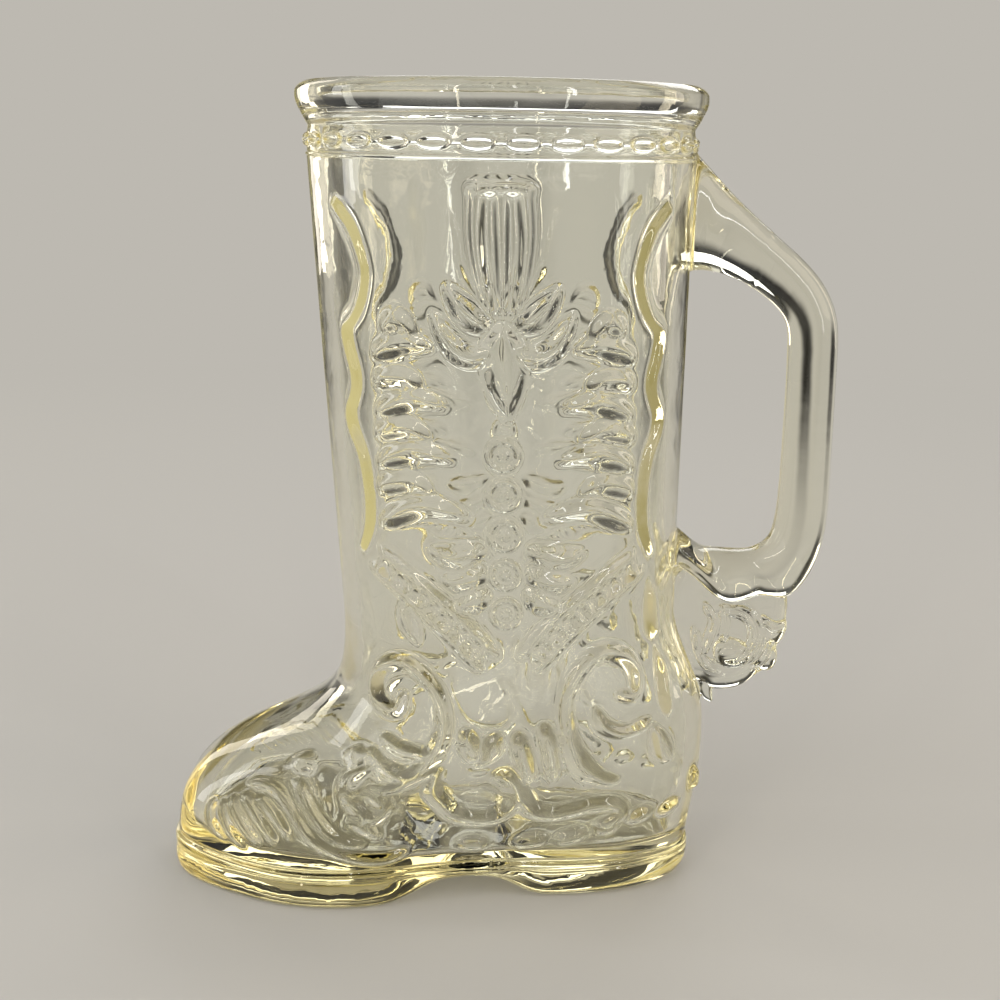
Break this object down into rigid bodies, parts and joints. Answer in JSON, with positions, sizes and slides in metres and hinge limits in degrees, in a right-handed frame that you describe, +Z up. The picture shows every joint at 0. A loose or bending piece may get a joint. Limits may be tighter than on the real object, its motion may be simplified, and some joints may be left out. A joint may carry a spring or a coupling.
{
  "type": "beer boot glass",
  "caption": "Pressed clear glass mug in the shape of a cowboy boot, with rolled rim, banded neck, raised side ornament, solid handle and a fixed spur behind the heel.",
  "frame": {"origin": "on the table, under the middle of the mug's overall length and width", "axes": "+Z up along the shaft; toe towards -X, heel, spur and handle towards +X; +Y across the mug, which is the same on both sides"},
  "size_m": [0.1672, 0.1, 0.2],
  "materials": {
    "pressed_glass": "fire-polished, slightly wavy"
  },
  "bodies": {
    "root": {"rim_lip": "pressed_glass", "neck_band": "pressed_glass", "band_links": "pressed_glass", "band_bead": "pressed_glass", "shaft_wall": "pressed_glass", "foot_wall": "pressed_glass", "sole": "pressed_glass", "heel": "pressed_glass", "handle_upper_arm": "pressed_glass", "handle_grip": "pressed_glass", "handle_lower_arm": "pressed_glass", "spur_rowel": "pressed_glass", "spur_hub": "pressed_glass", "spur_shank": "pressed_glass", "spur_drop": "pressed_glass", "pull_straps": "pressed_glass", "lily_leaves": "pressed_glass", "lily_pendants": "pressed_glass", "concho_columns": "pressed_glass", "front_leaf_sprays": "pressed_glass", "rear_leaf_sprays": "pressed_glass", "front_piping": "pressed_glass", "rear_piping": "pressed_glass", "front_vee_straps": "pressed_glass", "rear_vee_straps": "pressed_glass", "lower_petals": "pressed_glass", "front_scrolls": "pressed_glass", "rear_scrolls": "pressed_glass", "waist_scrolls": "pressed_glass", "ankle_leaves": "pressed_glass", "counter_panels": "pressed_glass", "heel_chain": "pressed_glass", "toe_flames": "pressed_glass", "toe_scrolls": "pressed_glass"}
  },
  "joints": []
}
